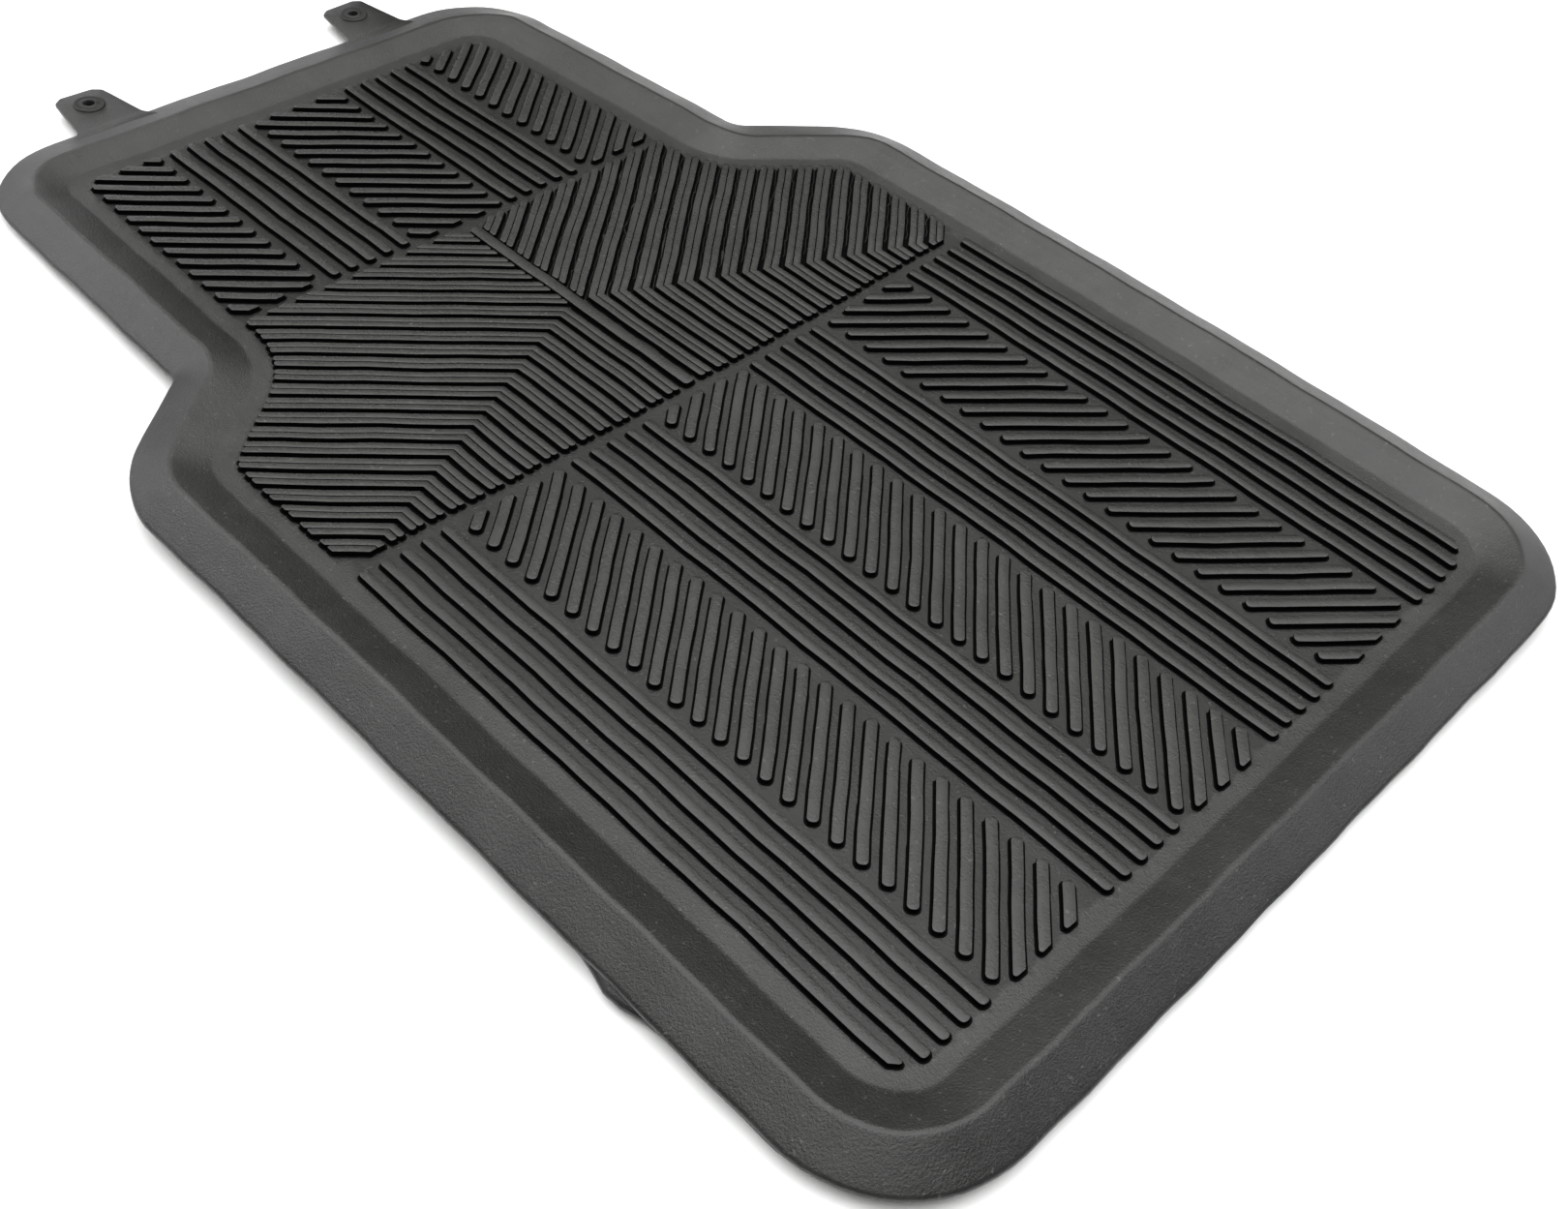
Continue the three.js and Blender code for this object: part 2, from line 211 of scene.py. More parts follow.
def edge_stations():
    """The field's edge, anticlockwise, from the right corner of the wide end."""
    wide_corner = Vector(
        (FIELD_HALF_WIDTH - WIDE_CORNER_RADIUS, FIELD_WIDE_END_Y + WIDE_CORNER_RADIUS)
    )
    shoulder = Vector((FIELD_HALF_WIDTH - SHOULDER_RADIUS, SHOULDER_Y))
    radii = SHOULDER_RADIUS + NECK_RADIUS
    neck_x = FIELD_NECK_HALF_WIDTH + NECK_RADIUS
    side_run = neck_x - shoulder.x - radii * math.cos(SHOULDER_TURN)
    climb = radii * math.sin(SHOULDER_TURN) - side_run / math.tan(SHOULDER_TURN)
    neck = Vector((neck_x, shoulder.y + climb))
    side = Vector((math.cos(NARROW_SIDE_LEAN), math.sin(NARROW_SIDE_LEAN)))
    corner_y = FIELD_NARROW_END_Y - NARROW_CORNER_RADIUS
    across = neck.dot(side) - NECK_RADIUS - NARROW_CORNER_RADIUS
    narrow_corner = Vector(((across - corner_y * side.y) / side.x, corner_y))
    right = (
        arc_stations(wide_corner, WIDE_CORNER_RADIUS, -math.pi / 2, 0)
        + arc_stations(shoulder, SHOULDER_RADIUS, 0, SHOULDER_TURN)
        + arc_stations(neck, NECK_RADIUS, SHOULDER_TURN, NARROW_SIDE_LEAN, concave=True)
        + arc_stations(narrow_corner, NARROW_CORNER_RADIUS, NARROW_SIDE_LEAN, math.pi / 2)
    )
    left = [
        (Vector((-point.x, point.y)), Vector((-outward.x, outward.y)))
        for point, outward in reversed(right)
    ]
    return with_straights(right + left)


STATIONS = edge_stations()
EDGE_POINTS = np.array([point[:] for point, _ in STATIONS])


def outward_distance(x, y):
    """Signed distance of a point from the field's edge, negative inside."""
    a = EDGE_POINTS
    b = np.roll(a, -1, axis=0)
    p = np.array((x, y))
    span = b - a
    t = np.clip(((p - a) * span).sum(1) / (span * span).sum(1), 0, 1)
    gap = np.sqrt((((a + span * t[:, None]) - p) ** 2).sum(1)).min()
    above = (a[:, 1] > y) != (b[:, 1] > y)
    rising = np.where(above, span[:, 1], 1.0)
    crossing = above & (x < a[:, 0] + span[:, 0] * (y - a[:, 1]) / rising)
    return -gap if crossing.sum() % 2 else gap


# ---- Ribs ------------------------------------------------------------------------------------


class Rib:
    """Two side lines of points that face each other, from one end of the rib to the other."""

    def __init__(self, left, right, height=RIB_HEIGHT, rounding=RIB_ROUNDING):
        self.left = left
        self.right = right
        self.height = height
        self.rounding = rounding


def in_row(row):
    """A test of whether a point lies in the row and far enough from the field's edge."""
    low, high, margin = row

    def test(point):
        if not low <= point.y <= high:
            return False
        return outward_distance(point.x, point.y) <= -margin

    return test


def last_inside(start, direction, reach, inside):
    """How far a line can go from its start before it leaves the pattern."""
    if not inside(start):
        return 0.0
    good = 0.0
    step = 2 * MM
    travelled = step
    while travelled < reach and inside(start + direction * travelled):
        good = travelled
        travelled += step
    if travelled >= reach and inside(start + direction * reach):
        return reach
    bad = min(travelled, reach)
    halvings = 7
    for _ in range(halvings):
        middle = 0.5 * (good + bad)
        if inside(start + direction * middle):
            good = middle
        else:
            bad = middle
    return good


def straight_rib(centre, direction, half_length, inside):
    """A rib through the centre point, cut where the pattern ends, or None if too little is left."""
    across = Vector((-direction.y, direction.x))
    count = 2 * int(half_length / MM) + 1
    starts = [
        centre + direction * offset for offset in np.linspace(-half_length, half_length, count)
    ]
    good = [point for point in starts if inside(point)]
    if not good:
        return None
    middle = good[len(good) // 2]
    limits = []
    for side in (1, -1):
        start = middle + across * (side * RIB_WIDTH / 2)
        if not inside(start):
            return None
        off_centre = (middle - centre).dot(direction)
        far = last_inside(start, direction, half_length - off_centre, inside)
        near = last_inside(start, -direction, half_length + off_centre, inside)
        limits.append([start - direction * near, start + direction * far])
    if min((end - begin).length for begin, end in limits) < SHORTEST_RIB:
        return None
    return Rib(*limits)


def long_ribs(row, column_x):
    """A column of five ribs along the mat."""
    inside = in_row(row)
    ribs = []
    half_length = (row[1] - row[0]) / 2
    for i in range(-2, 3):
        centre = Vector((column_x + i * LONG_RIB_PITCH, (row[0] + row[1]) / 2))
        ribs.append(straight_rib(centre, Vector((0, 1)), half_length, inside))
    return ribs


def slant_ribs(row, column_x, slant, some_y):
    """A column of slanted ribs, one of which crosses the column's middle at the given y."""
    inside = in_row(row)
    direction = Vector((math.cos(SLANT_ANGLE), slant * math.sin(SLANT_ANGLE)))
    half_length = SLANT_COLUMN_HALF_WIDTH / math.cos(SLANT_ANGLE)
    climb = SLANT_COLUMN_HALF_WIDTH * math.tan(SLANT_ANGLE)
    first = math.ceil((row[0] - climb - some_y) / SLANT_PITCH_Y)
    last = math.floor((row[1] + climb - some_y) / SLANT_PITCH_Y)
    centres = [Vector((column_x, some_y + k * SLANT_PITCH_Y)) for k in range(first, last + 1)]
    return [straight_rib(centre, direction, half_length, inside) for centre in centres]


def heel_ribs(side):
    """Bent twin ribs on one side of the central bar. Each side line bends at its own mitre."""
    inside = in_row(HEEL_ROW)
    limit_x = HEEL_BAR_WIDTH / 2 + HEEL_BAR_GAP
    slope = math.tan(SLANT_ANGLE)
    bend_slope = math.tan((math.pi / 2 - SLANT_ANGLE) / 2)
    uphill = Vector((side * math.cos(SLANT_ANGLE), math.sin(SLANT_ANGLE)))
    ribs = []
    count = int(FIELD_HALF_WIDTH / HEEL_PITCH)
    for i in range(-count, count + 1):
        for offset in (-HEEL_TWIN_OFFSET, HEEL_TWIN_OFFSET):
            x = i * HEEL_PITCH + offset
            lines = []
            for edge in (-HEEL_RIB_WIDTH / 2, HEEL_RIB_WIDTH / 2):
                edge_x = x + edge
                bend = Vector((side * edge_x, HEEL_BEND_Y - edge_x * bend_slope))
                if edge_x <= limit_x:
                    points = [Vector((side * limit_x, bend.y + slope * (limit_x - edge_x)))]
                elif bend.y <= HEEL_ROW[0]:
                    start_x = edge_x + (HEEL_ROW[0] - bend.y) / slope
                    points = [Vector((side * start_x, HEEL_ROW[0]))]
                else:
                    points = [Vector((side * edge_x, HEEL_ROW[0])), bend]
                begin = points[-1] + uphill * HEEL_NUDGE
                far = last_inside(begin, uphill, LONGEST_HEEL_RUN, inside)
                if far > SHORTEST_HEEL_RUN:
                    lines.append(points + [begin + uphill * far])
            if len(lines) == 2:
                ribs.append(paired_rib(lines))
    return ribs


def paired_rib(lines):
    """A heel rib from two side lines, where one may lack the bend that the other has."""
    first, second = lines
    if len(first) != len(second):
        longer, shorter = (first, second) if len(first) > len(second) else (second, first)
        bend = longer[1]
        target = shorter[0].lerp(shorter[-1], HEEL_BEND_SHARE)
        near = (target - bend).length < HEEL_BEND_REACH
        shorter.insert(1, target if near else shorter[0])
    if min((line[-1] - line[0]).length for line in lines) < SHORTEST_HEEL_RIB:
        return None
    return Rib(first, second, HEEL_RIB_HEIGHT, HEEL_RIB_ROUNDING)


def heel_bar():
    """The bar between the two halves of the heel pad."""
    half = HEEL_BAR_WIDTH / 2
    ends = (HEEL_ROW[0], HEEL_ROW[1] - HEEL_BAR_SHORT)
    left, right = ([Vector((x, y)) for y in ends] for x in (-half, half))
    return Rib(left, right, HEEL_RIB_HEIGHT, HEEL_RIB_ROUNDING)


def all_ribs():
    """The whole pattern, without the ribs that the field's edge leaves no room for."""
    ribs = slant_ribs(WIDE_ROW, 0, 1, WIDE_SLANT_Y)
    ribs += slant_ribs(NARROW_ROW, 0, -1, NARROW_MIDDLE_SLANT_Y)
    ribs.append(heel_bar())
    for side in (-1, 1):
        ribs += long_ribs(WIDE_ROW, side * OUTER_COLUMN_X)
        ribs += long_ribs(WIDE_ROW, side * INNER_COLUMN_X)
        ribs += long_ribs(NARROW_ROW, side * INNER_COLUMN_X)
        ribs += slant_ribs(WIDE_ROW, side * SLANT_COLUMN_X, -side, WIDE_SLANT_Y)
        ribs += slant_ribs(NARROW_ROW, side * SLANT_COLUMN_X, side, NARROW_OUTER_SLANT_Y)
        ribs += heel_ribs(side)
    return [rib for rib in ribs if rib is not None]


# ---- Mesh building ---------------------------------------------------------------------------

CDT_INSIDE = 1  # the triangulation's output type: triangles inside the outlines only


class MeshBuilder:
    """The points and faces of one mat, with two values for each point."""

    def __init__(self):
        self.points = []
        self.faces = []
        self.droops = []
        self.ribbed = []

    def add(self, x, y, z, droop=0.0, ribbed=0.0):
        """Adds a point. Droop grows from the crest to the lip, and ribbed marks the pattern and its
        painted shade.
        """
        self.points.append((x, y, z))
        self.droops.append(droop)
        self.ribbed.append(ribbed)
        return len(self.points) - 1

    def face(self, *corners):
        distinct = [c for i, c in enumerate(corners) if c != corners[i - 1]]
        if len(distinct) > 2:
            self.faces.append(tuple(distinct))

    def band(self, lower, upper):
        """Joins two closed rings of the same length."""
        count = len(lower)
        for i in range(count):
            j = (i + 1) % count
            self.face(lower[i], lower[j], upper[j], upper[i])


def corner_arc(corner, before, after, radius, steps):
    """Rounds one corner of an outline."""
    back = (before - corner).normalized()
    ahead = (after - corner).normalized()
    half = 0.5 * back.angle(ahead)
    if half > math.radians(86):
        return [corner.copy() for _ in range(steps + 1)]
    trim = radius / math.tan(half)
    centre = corner + (back + ahead).normalized() * (radius / math.sin(half))
    start = corner + back * trim - centre
    end = corner + ahead * trim - centre
    sweep = -start.angle_signed(end)
    return [centre + rotated(start, sweep * i / steps) for i in range(steps + 1)]


def rotated(vector, angle):
    cos, sin = math.cos(angle), math.sin(angle)
    return Vector((vector.x * cos - vector.y * sin, vector.x * sin + vector.y * cos))


def end_radius(corner, other, following, other_following):
    """The largest rounding that fits both corners of a rib's end."""
    across = (other - corner).normalized()
    run = (following - corner).length
    other_run = (other_following - other).length
    sharpest = min(
        across.angle(following - corner),
        (-across).angle(other_following - other),
    )
    room = min(0.42 * (other - corner).length, 0.3 * run, 0.3 * other_run)
    return min(RIB_END_RADIUS, room * math.tan(0.5 * sharpest))


def rib_rungs(rib):
    """The rib's outline as rungs: pairs of facing points from one end to the other."""
    left, right = rib.left, rib.right
    start = end_radius(left[0], right[0], left[1], right[1])
    end = end_radius(left[-1], right[-1], left[-2], right[-2])
    start_left = corner_arc(left[0], right[0], left[1], start, RIB_END_STEPS)
    start_right = corner_arc(right[0], left[0], right[1], start, RIB_END_STEPS)
    end_left = corner_arc(left[-1], left[-2], right[-1], end, RIB_END_STEPS)
    end_right = corner_arc(right[-1], right[-2], left[-1], end, RIB_END_STEPS)
    left_line = [start_left[-1]] + left[1:-1] + [end_left[0]]
    right_line = [start_right[-1]] + right[1:-1] + [end_right[0]]
    spans = [
        max(1, math.ceil(max((a - b).length, (c - d).length) / LONGEST_RIB_STEP))
        for a, b, c, d in zip(left_line, left_line[1:], right_line, right_line[1:])
    ]
    rungs = list(zip(start_left, start_right))[:-1]
    for k, steps in enumerate(spans):
        for i in range(steps):
            rungs.append(
                tuple(line[k].lerp(line[k + 1], i / steps) for line in (left_line, right_line))
            )
    rungs += list(zip(end_left, end_right))
    return rungs


def rib_outline(rungs):
    """Anticlockwise outline of a rib, and the index of each rung's two ends in it."""
    outline = [left for left, _ in rungs] + [right for _, right in reversed(rungs)]
    count = len(rungs)
    pairs = [(i, 2 * count - 1 - i) for i in range(count)]
    area = sum(
        outline[i - 1].x * outline[i].y - outline[i].x * outline[i - 1].y
        for i in range(len(outline))
    )
    if area < 0:
        outline.reverse()
        last = 2 * count - 1
        pairs = [(last - a, last - b) for a, b in pairs]
    return outline, pairs


def inset(outline, distance):
    """The anticlockwise outline moved inwards."""
    moved = []
    count = len(outline)
    for i, point in enumerate(outline):
        before = point - outline[i - 1]
        after = outline[(i + 1) % count] - point
        if before.length < COINCIDENT:
            before = after
        if after.length < COINCIDENT:
            after = before
        inward, next_inward = (Vector((-run.y, run.x)).normalized() for run in (before, after))
        normal = inward + next_inward
        scale = max(normal.length_squared / 2, 0.6)
        moved.append(point + normal * (distance / scale))
    return moved


def add_rib(mesh, rib, outline, pairs, foot):
    """Walls with a slight draft, a rounded top edge, and the top."""
    top = FIELD_TOP + rib.height
    rounding = rib.rounding
    levels = [
        (0.12 * rounding, FIELD_TOP + 0.2 * MM, RIB_WALL_SHARE),
        (0.35 * rounding, top - 0.6 * rounding, RIB_WALL_SHARE),
        (0.55 * rounding, top - 0.2 * rounding, RIB_TOP_SHARE),
        (rounding, top, RIB_TOP_SHARE),
    ]
    ring = foot
    for distance, height, ribbed in levels:
        points = inset(outline, distance)
        following = [mesh.add(p.x, p.y, height, ribbed=ribbed) for p in points]
        mesh.band(ring, following)
        ring = following
    for (a, b), (c, d) in zip(pairs, pairs[1:]):
        mesh.face(ring[a], ring[c], ring[d], ring[b])


def field_points():
    """Loose points over the field, so that it can follow the arch, and a ring round its border."""
    columns = math.ceil(FIELD_HALF_WIDTH / FIELD_STEP)
    first = math.floor(FIELD_WIDE_END_Y / FIELD_STEP)
    last = math.ceil(FIELD_NARROW_END_Y / FIELD_STEP)
    clearance = BORDER_WIDTH + 2.5 * MM
    points = []
    for i in range(-columns, columns + 1):
        for j in range(first, last + 1):
            x = (i + 0.5 * (j % 2)) * FIELD_STEP
            y = j * FIELD_STEP
            if outward_distance(x, y) < -clearance:
                points.append(Vector((x, y)))
    points += [point - outward * BORDER_WIDTH for point, outward in STATIONS]
    return points


def add_field(mesh, edge_ring, ribs):
    """The field as one sheet that leaves out the feet of the ribs, which stand in the openings."""
    outlines = []
    verts = [Vector(mesh.points[i][:2]) for i in edge_ring]
    loops = [list(range(len(verts)))]
    for rib in ribs:
        outline, pairs = rib_outline(rib_rungs(rib))
        outlines.append((rib, outline, pairs, len(verts)))
        loops.append(list(range(len(verts), len(verts) + len(outline))))
        verts += outline
    foot_count = len(verts)

    # Round each foot, a ring of points ends its shade. Heel ribs are too close for joined rings.
    edges = []
    for rib, outline, _, _ in outlines:
        ring = list(range(len(verts), len(verts) + len(outline)))
        verts += inset(outline, -FOOT_SHADE)
        if rib.height == RIB_HEIGHT:
            edges += zip(ring, ring[1:] + ring[:1])
    verts += field_points()
    result = geometry.delaunay_2d_cdt(verts, edges, loops, CDT_INSIDE, COINCIDENT)
    out_verts, _, out_faces, origins, _, face_origins = result
    ids = {}
    edge_count = len(edge_ring)
    for new, sources in enumerate(origins):
        known = [s for s in sources if s < edge_count]
        if known:
            ids[new] = edge_ring[known[0]]
        else:
            p = out_verts[new]
            on_border = outward_distance(p.x, p.y) > -BORDER_WIDTH - 0.5 * MM
            at_foot = any(s < foot_count for s in sources)
            ribbed = RIB_WALL_SHARE if at_foot else 0.0 if on_border else 1.0
            ids[new] = mesh.add(p.x, p.y, FIELD_TOP, ribbed=ribbed)
    of_input = {}
    for new, sources in enumerate(origins):
        for source in sources:
            of_input[source] = ids[new]
    for face, sources in zip(out_faces, face_origins):
        if list(sources) == [0]:
            mesh.face(*(ids[i] for i in face))
    for rib, outline, pairs, first in outlines:
        foot = [of_input[first + i] for i in range(len(outline))]
        add_rib(mesh, rib, outline, pairs, foot)


def rim_profile(outward):
    """Rows of distance out from the field's edge, height and droop share.

    They go from the field over the crest to the edge, and back below.
    """
    towards_narrow = smoothstep(outward.y, 0.15, 0.95)
    crest = lerp(CREST_HEIGHT, NARROW_END_CREST_HEIGHT, towards_narrow)
    slope = (crest - FIELD_TOP) / CREST_OFFSET
    fall = (crest - EDGE_THICKNESS) / (EDGE_OFFSET - CREST_OFFSET)
    rows = [
        (-0.8 * MM, FIELD_TOP),
        (0.0, FIELD_TOP + 0.2 * MM * slope),
        (0.8 * MM, FIELD_TOP + 0.8 * MM * slope),
        (1.6 * MM, FIELD_TOP + 1.6 * MM * slope),
        (5 * MM, FIELD_TOP + 5 * MM * slope),
        (10 * MM, FIELD_TOP + 10 * MM * slope),
        (15.2 * MM, FIELD_TOP + 15.2 * MM * slope),
        (15.9 * MM, crest - 1.1 * MM * slope - 0.03 * MM),
        (16.4 * MM, crest - 0.6 * MM * slope - 0.12 * MM),
        (17.6 * MM, crest - 0.6 * MM * fall - 0.12 * MM),
        (18.1 * MM, crest - 1.1 * MM * fall - 0.03 * MM),
        (18.8 * MM, crest - 1.8 * MM * fall),
        (24 * MM, crest - 7 * MM * fall),
        (29 * MM, crest - 12 * MM * fall),
        (32.6 * MM, crest - 15.6 * MM * fall),
        (33.4 * MM, crest - 16.6 * MM * fall),
        (33.85 * MM, EDGE_THICKNESS - 0.35 * MM),
        (34.0 * MM, EDGE_THICKNESS - 0.8 * MM),
        (34.0 * MM, 0.4 * MM),
        (33.7 * MM, 0.0),
        (31.8 * MM, 0.0),
        (24 * MM, crest - RIM_THICKNESS - 7 * MM * fall),
        (CREST_OFFSET, crest - RIM_THICKNESS),
        (10 * MM, crest - RIM_THICKNESS - 7 * MM * slope),
        (2.5 * MM, 0.0),
        (0.0, 0.0),
    ]
    outer = 1 - towards_narrow
    return [
        (distance, height, outer * max(0.0, distance / CREST_OFFSET - 1))
        for distance, height in rows
    ]


def add_rim(mesh):
    """The rim round the field. Returns the ring of the field's upper edge."""
    profiles = [rim_profile(outward) for _, outward in STATIONS]
    rings = []
    for row in range(len(profiles[0])):
        ring = []
        for (point, outward), profile in zip(STATIONS, profiles):
            distance, height, droop = profile[row]
            place = point + outward * distance
            ring.append(mesh.add(place.x, place.y, height, droop))
        rings.append(ring)
    for inner, outer in zip(rings, rings[1:]):
        mesh.band(outer, inner)
    return rings[0], rings[-1]


def add_underside(mesh, ring):
    """The flat underside of the field."""
    verts = [Vector(mesh.points[i][:2]) for i in ring]
    loops = [list(range(len(verts)))]
    count = len(verts)
    verts += field_points()
    result = geometry.delaunay_2d_cdt(verts, [], loops, CDT_INSIDE, COINCIDENT)
    out_verts, _, out_faces, origins, _, _ = result
    ids = {}
    for new, sources in enumerate(origins):
        known = [s for s in sources if s < count]
        p = out_verts[new]
        ids[new] = ring[known[0]] if known else mesh.add(p.x, p.y, 0.0)
    for face in out_faces:
        mesh.face(*(ids[i] for i in reversed(face)))


def tab_outline():
    """A tab's outline: the right half from its buried root to its tip, and its mirror image."""
    corners = [
        (24 * MM, -7 * MM, 0.0),
        (18.4 * MM, 0.6 * MM, 6 * MM),
        (14.4 * MM, TAB_LENGTH - 9 * MM, 8 * MM),
        (13.4 * MM, TAB_LENGTH - 3.2 * MM, 2.5 * MM),
        (9 * MM, TAB_LENGTH, 2.6 * MM),
    ]
    points = [Vector((x, y)) for x, y, _ in corners]
    following = points[1:] + [Vector((0, TAB_LENGTH))]
    right = [points[0]]
    radii = [radius for _, _, radius in corners[1:]]
    for before, corner, after, radius in zip(points, points[1:], following[1:], radii):
        right += corner_arc(corner, before, after, radius, TAB_CORNER_STEPS)
    left = [Vector((-p.x, p.y)) for p in reversed(right)]
    outline = right + left
    return [p for i, p in enumerate(outline) if (p - outline[i - 1]).length > 0.01 * MM]


def add_tab(mesh, x):
    """A flat tongue with rounded edges and a round hole, rooted in the rim's outer slope."""
    outline = tab_outline()
    hole_y = TAB_LENGTH - TAB_HOLE_FROM_TIP
    hole = [
        Vector((math.cos(a), math.sin(a))) * TAB_HOLE_RADIUS + Vector((0, hole_y))
        for a in (2 * math.pi * i / HOLE_STEPS for i in range(HOLE_STEPS))
    ]
    top = TAB_UNDERSIDE + TAB_THICKNESS
    levels = [
        (0.5 * MM, TAB_UNDERSIDE),
        (0.0, TAB_UNDERSIDE + 0.5 * MM),
        (0.0, top - 0.6 * MM),
        (0.18 * MM, top - 0.2 * MM),
        (0.6 * MM, top),
    ]
    rings = [
        [mesh.add(p.x + x, p.y + EDGE_Y, height) for p in inset(outline, distance)]
        for distance, height in levels
    ]
    for lower, upper in zip(rings, rings[1:]):
        mesh.band(lower, upper)
    hole_rings = [
        [mesh.add(p.x + x, p.y + EDGE_Y, height) for p in hole] for height in (TAB_UNDERSIDE, top)
    ]
    mesh.band(hole_rings[1], hole_rings[0])
    sheets = ((rings[-1], hole_rings[1], False), (rings[0], hole_rings[0], True))
    for ring, hole_ring, flip in sheets:
        inputs = ring + hole_ring
        verts = [Vector(mesh.points[i][:2]) for i in inputs]
        loops = [list(range(len(ring))), list(range(len(ring), len(inputs)))]
        result = geometry.delaunay_2d_cdt(verts, [], loops, CDT_INSIDE, COINCIDENT)
        _, _, faces, origins, _, sources = result
        for face, source in zip(faces, sources):
            if list(source) == [0]:
                corners = [inputs[origins[i][0]] for i in face]
                mesh.face(*(reversed(corners) if flip else corners))


def mat_shape():
    """One mat, flat."""
    mesh = MeshBuilder()
    top_ring, bottom_ring = add_rim(mesh)
    add_field(mesh, top_ring, all_ribs())
    add_underside(mesh, bottom_ring)
    for side in (-1, 1):
        add_tab(mesh, side * TAB_X)
    return mesh


# ---- Placing the mats ------------------------------------------------------------------------

upper_low, upper_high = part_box("upper_mat_body")
lower_low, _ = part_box("lower_mat_body")
ORIGIN_X = (upper_low[0] + upper_high[0]) / 2
ORIGIN_Y = upper_low[1] - (FIELD_WIDE_END_Y - EDGE_OFFSET)


def wobble(x, y):
    """The slight unevenness of soft rubber: how far a point is off its drawn place."""
    a, b = x / MM, y / MM
    return Vector(
        (
            math.sin(0.083 * b + 0.031 * a) + 0.7 * math.sin(0.19 * b - 0.057 * a + 1.0),
            math.sin(0.091 * a - 0.027 * b + 2.0) + 0.7 * math.sin(0.21 * a + 0.049 * b),
            0.5 * math.sin(0.07 * a + 0.05 * b) + 0.4 * math.sin(0.13 * a - 0.11 * b + 0.6),
        )
    ) * WOBBLE


class Placement:
    """Where a mat lies: its base height, its turn about the vertical, and how its lip is bent."""

    def __init__(self, base, skew, shift_x, tuck, bulge):
        self.base = base
        self.skew = skew
        self.shift_x = shift_x
        self.tuck = tuck
        self.bulge = bulge

    def place(self, x, y, z, droop=0.0):
        """Takes a point from the mat's flat frame to its place in the scene."""
        flat = rotated(Vector((x, y)), self.skew) + Vector((self.shift_x, 0))
        off = wobble(x, y)
        towards_right = smoothstep(flat.x, RIGHT_LIP_FROM, RIGHT_LIP_TO)
        sag = droop * lerp(1.0, RIGHT_LIP_SHARE, towards_right)
        lift = rise(flat.x, flat.y) * (1 - LIP_EASE * sag) - sag * LIP_DROOP
        flat *= 1 - self.tuck * droop
        if x < 0:
            flat.x -= self.bulge * droop * math.exp(-(((y - BULGE_Y) / BULGE_REACH) ** 2))
        height = max(z + lift + off.z * (1 - droop), min(z, 0.1 * MM))
        return (ORIGIN_X + flat.x + off.x, ORIGIN_Y + flat.y + off.y, self.base + height)


UPPER = Placement(upper_low[2], 0.0, 0.0, 0.0, 0.0)
LOWER = Placement(lower_low[2], LOWER_SKEW, LOWER_SHIFT_X, LOWER_TUCK, LOWER_BULGE)


def make_object(name, points, faces, material, sharp_angle=38, ribbed=None):
    mesh = bpy.data.meshes.new(name)
    mesh.from_pydata(points, [], faces)
    if ribbed is not None:
        mesh.attributes.new("ribbed", "FLOAT", "POINT").data.foreach_set("value", ribbed)
    mesh.validate()
    solid = bmesh.new()
    solid.from_mesh(mesh)
    loose = [vertex for vertex in solid.verts if not vertex.link_faces]
    bmesh.ops.delete(solid, geom=loose, context="VERTS")
    bmesh.ops.recalc_face_normals(solid, faces=solid.faces)
    solid.to_mesh(mesh)
    solid.free()
    mesh.polygons.foreach_set("use_smooth", [True] * len(mesh.polygons))
    mesh.set_sharp_from_angle(angle=math.radians(sharp_angle))
    mesh.materials.append(material)
    piece = bpy.data.objects.new(name, mesh)
    bpy.context.scene.collection.objects.link(piece)
    return piece


def make_mat(name, shape, placement, material):
    points = [placement.place(*point, droop) for point, droop in zip(shape.points, shape.droops)]
    return make_object(name, points, shape.faces, material, ribbed=shape.ribbed)


def make_turned(name, profile, placement, centre, height, material):
    """A ring of revolution about a tab's hole, from a closed profile of radii and heights."""
    points, faces = [], []
    count = len(profile)
    for i in range(TURNED_STEPS):
        angle = 2 * math.pi * i / TURNED_STEPS
        for radius, z in profile:
            x = centre.x + radius * math.cos(angle)
            y = centre.y + radius * math.sin(angle)
            points.append(placement.place(x, y, height + z))
    for i in range(TURNED_STEPS):
        j = (i + 1) % TURNED_STEPS
        for k in range(count):
            m = (k + 1) % count
            faces.append((i * count + k, j * count + k, j * count + m, i * count + m))
    return make_object(name, points, faces, material, sharp_angle=50)


EYELET_PROFILE = [
    (2.6 * MM, -1.9 * MM),
    (4.1 * MM, -1.9 * MM),
    (4.1 * MM, 0.05 * MM),
    (7.9 * MM, 0.05 * MM),
    (8.0 * MM, 0.3 * MM),
    (7.7 * MM, 0.75 * MM),
    (7.1 * MM, 0.95 * MM),
    (6.4 * MM, 0.8 * MM),
    (4.6 * MM, 0.72 * MM),
    (4.1 * MM, 1.0 * MM),
    (3.6 * MM, 1.25 * MM),
    (3.1 * MM, 1.15 * MM),
    (2.7 * MM, 0.8 * MM),
]
WASHER_PROFILE = [
    (4.4 * MM, -1.1 * MM),
    (6.6 * MM, -1.1 * MM),
    (7.0 * MM, -0.8 * MM),
    (7.0 * MM, -0.3 * MM),
    (4.4 * MM, -0.3 * MM),
]


# ---- Materials -------------------------------------------------------------------------------


def grey(value):
    return (value, value, value, 1)


